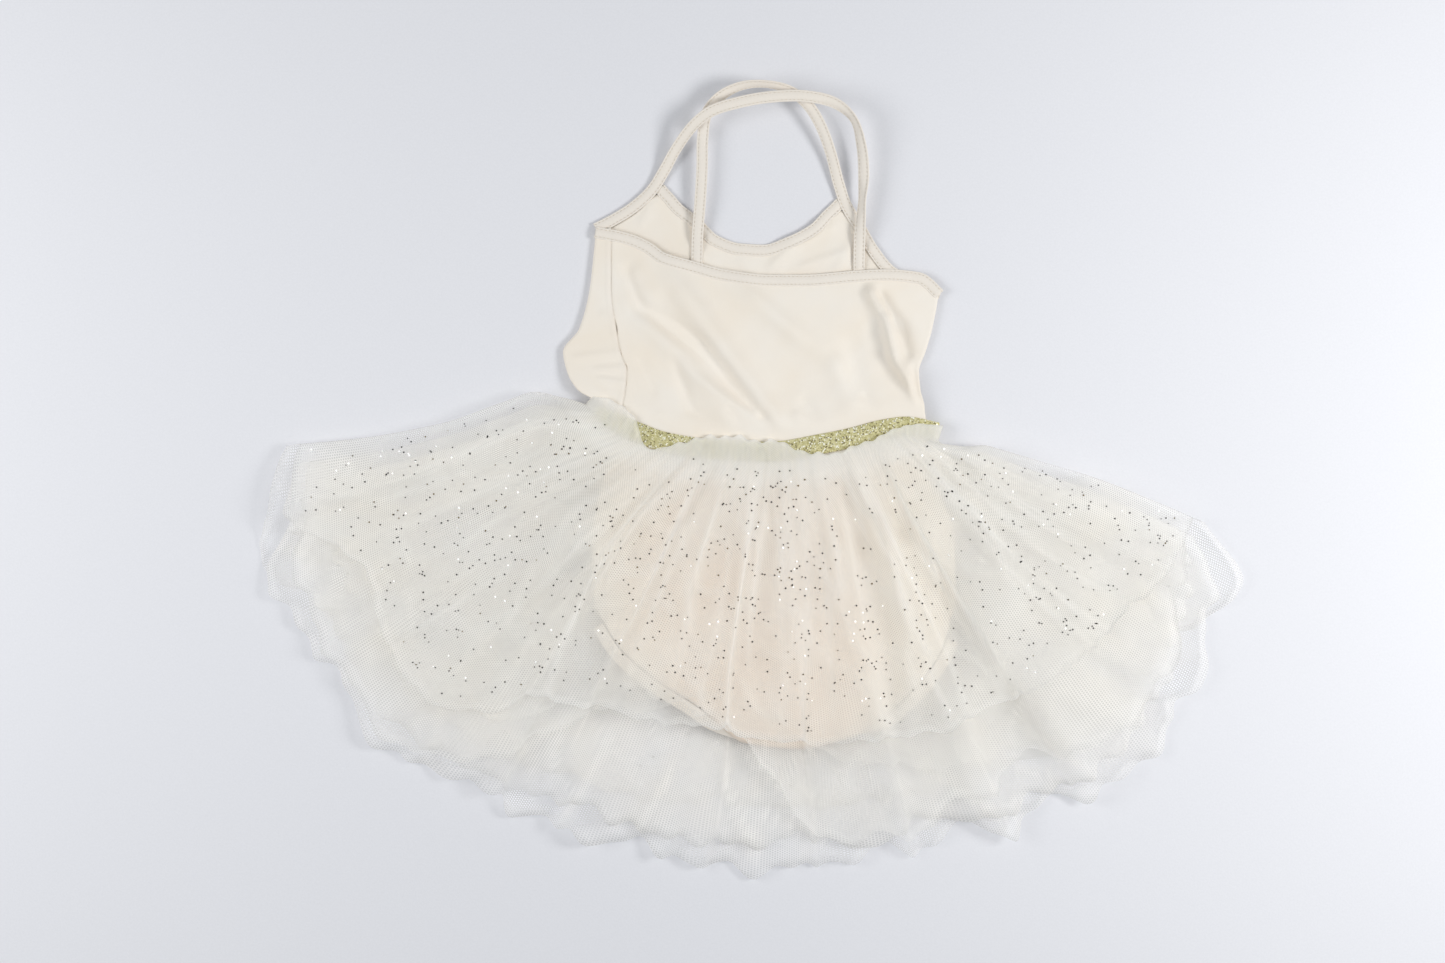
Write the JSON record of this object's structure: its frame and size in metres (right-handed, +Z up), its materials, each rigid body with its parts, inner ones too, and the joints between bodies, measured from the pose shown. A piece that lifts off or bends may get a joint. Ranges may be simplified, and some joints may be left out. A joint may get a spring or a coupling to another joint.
{
  "type": "child's dance costume with a net tutu, laid flat",
  "caption": "Strappy jersey dance leotard with crossed back straps, elastic waist and a gathered net tutu, laid out flat on its front.",
  "frame": {"origin": "on the surface that the costume lies on, under the middle of the bodice", "axes": "+X to the wearer's right as the costume lies back up, +Y from the skirt to the straps, +Z up from the surface"},
  "size_m": [0.7478, 0.5978, 0.0362],
  "materials": {
    "jersey": "matt ivory stretch jersey",
    "binding": "folded ivory stretch binding with a soft sheen",
    "gold_elastic": "gold lurex elastic with a metallic glitter",
    "glitter_net": "soft ivory net with scattered glitter dots",
    "net": "soft ivory net, matt and sheer"
  },
  "bodies": {
    "root": {"front_panel": "jersey", "back_panel": "jersey", "neck_binding": "binding", "back_binding": "binding", "left_strap": "binding", "right_strap": "binding", "left_leg_binding": "binding", "right_leg_binding": "binding", "waistband": "gold_elastic", "glitter_overlay": "glitter_net", "outer_net": "net", "inner_net": "net"}
  },
  "joints": []
}
